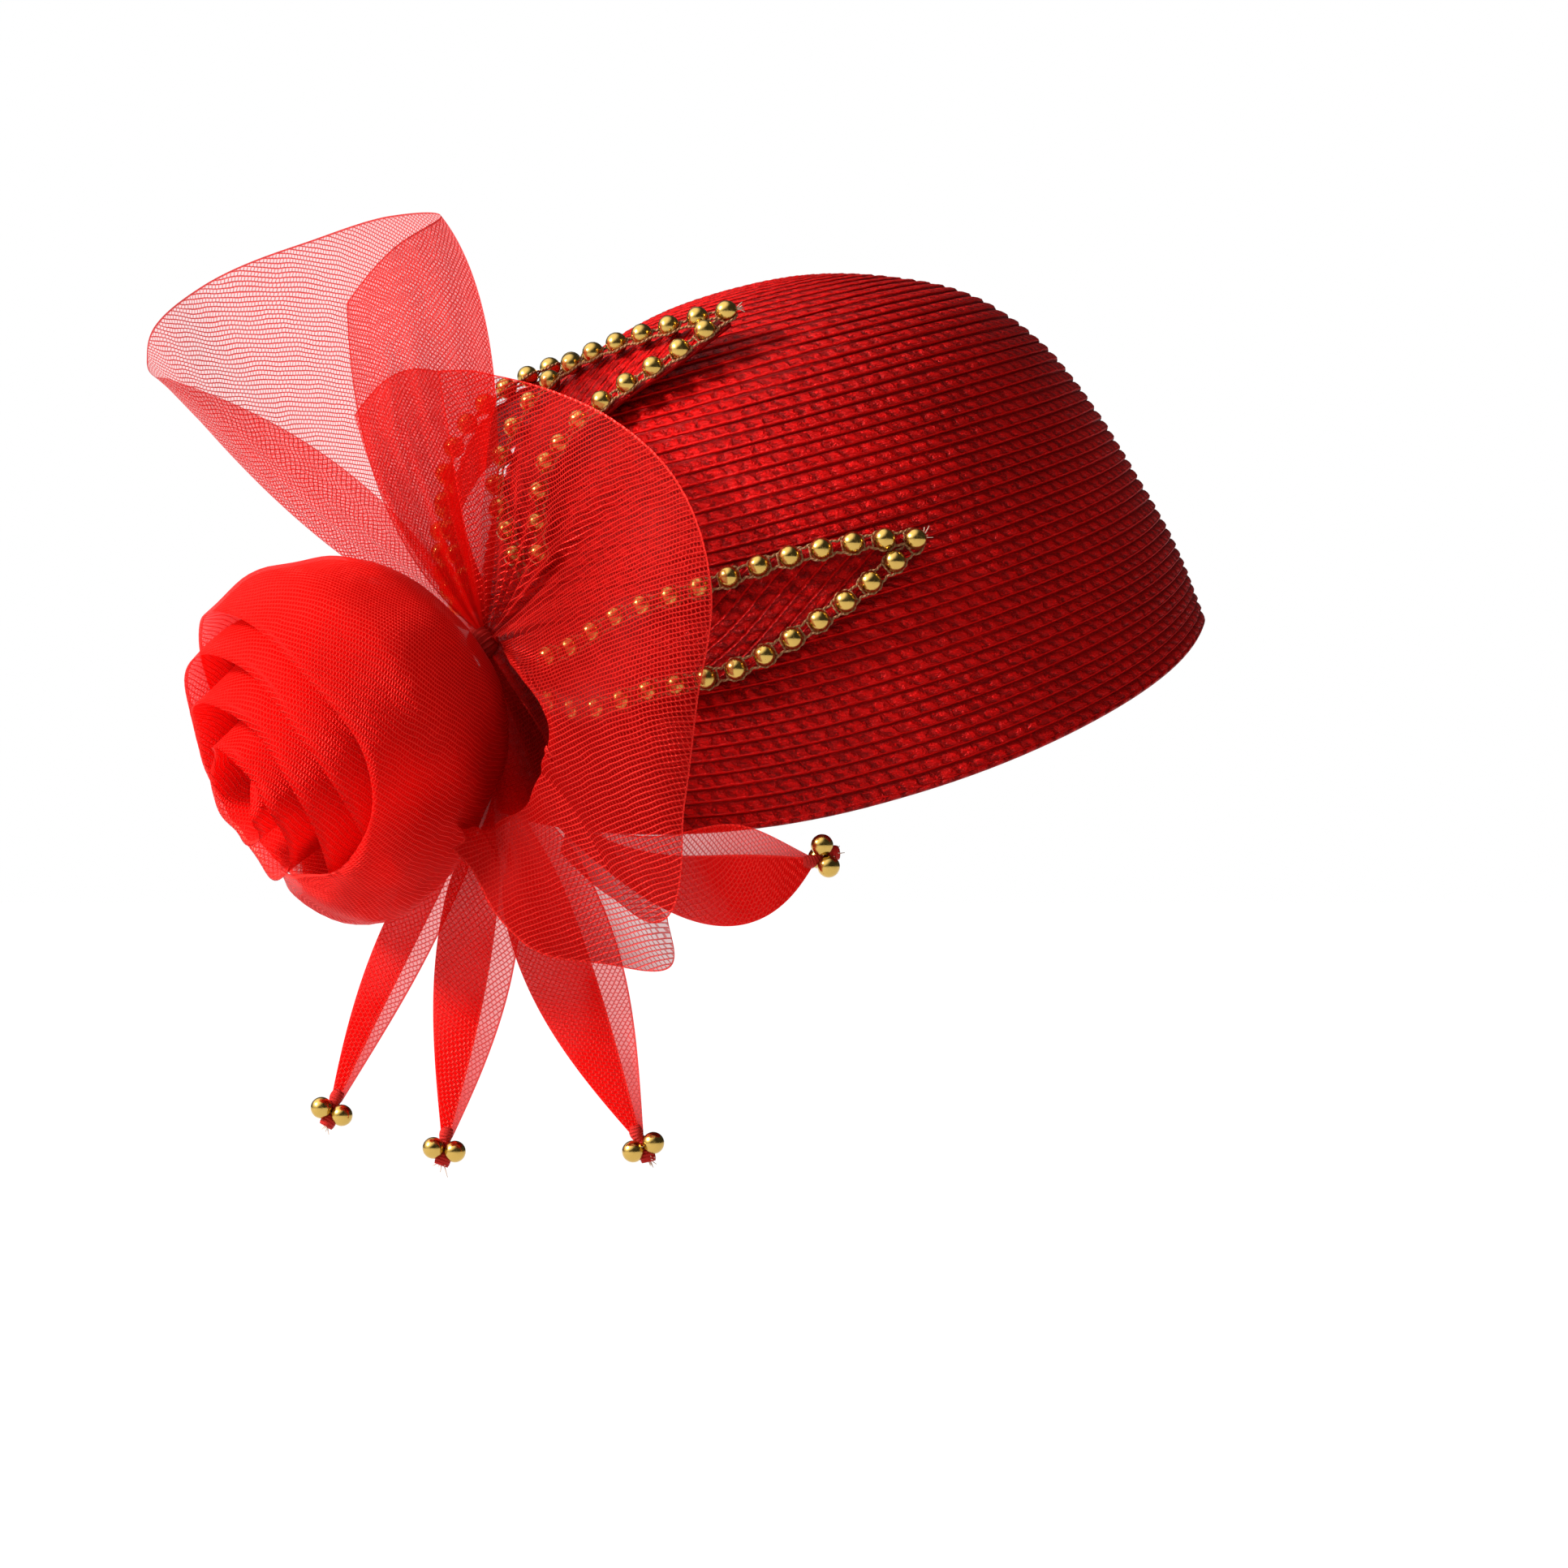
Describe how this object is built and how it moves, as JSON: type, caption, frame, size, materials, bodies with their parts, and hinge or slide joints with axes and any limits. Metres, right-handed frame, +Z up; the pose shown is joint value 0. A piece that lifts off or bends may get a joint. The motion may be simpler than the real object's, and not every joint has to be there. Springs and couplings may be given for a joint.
{
  "type": "church hat",
  "caption": "Close straw cloche with an open crinoline loop, a wound rose, a ruffle, pointed petals and straw leaves edged with beads, all on its left front.",
  "frame": {"origin": "middle of the head opening on the crown's own axis, level with the rim at the front and back", "axes": "+Z up through the crown, -X to the wearer's front, -Y to the wearer's left, where the trim is"},
  "size_m": [0.3349, 0.2333, 0.2966],
  "materials": {
    "straw_braid": "sewn red straw braid, silky",
    "crinoline": "open woven bright red nylon crinoline",
    "gold_bead": "polished gold plate"
  },
  "bodies": {
    "root": {"crown": "straw_braid", "leaf_a": "straw_braid", "leaf_b": "straw_braid", "leaf_c": "straw_braid", "bead_string_a": "gold_bead", "bead_string_b": "gold_bead", "bead_string_c": "gold_bead", "knob": "crinoline", "rose": "crinoline", "loop": "crinoline", "inner_fold": "crinoline", "ruffle": "crinoline", "ruffle_tail": "crinoline", "petal_1": "crinoline", "petal_2": "crinoline", "petal_3": "crinoline", "petal_4": "crinoline", "beaded_tip_1": "gold_bead", "beaded_tip_2": "gold_bead", "beaded_tip_3": "gold_bead", "beaded_tip_4": "gold_bead"}
  },
  "joints": []
}
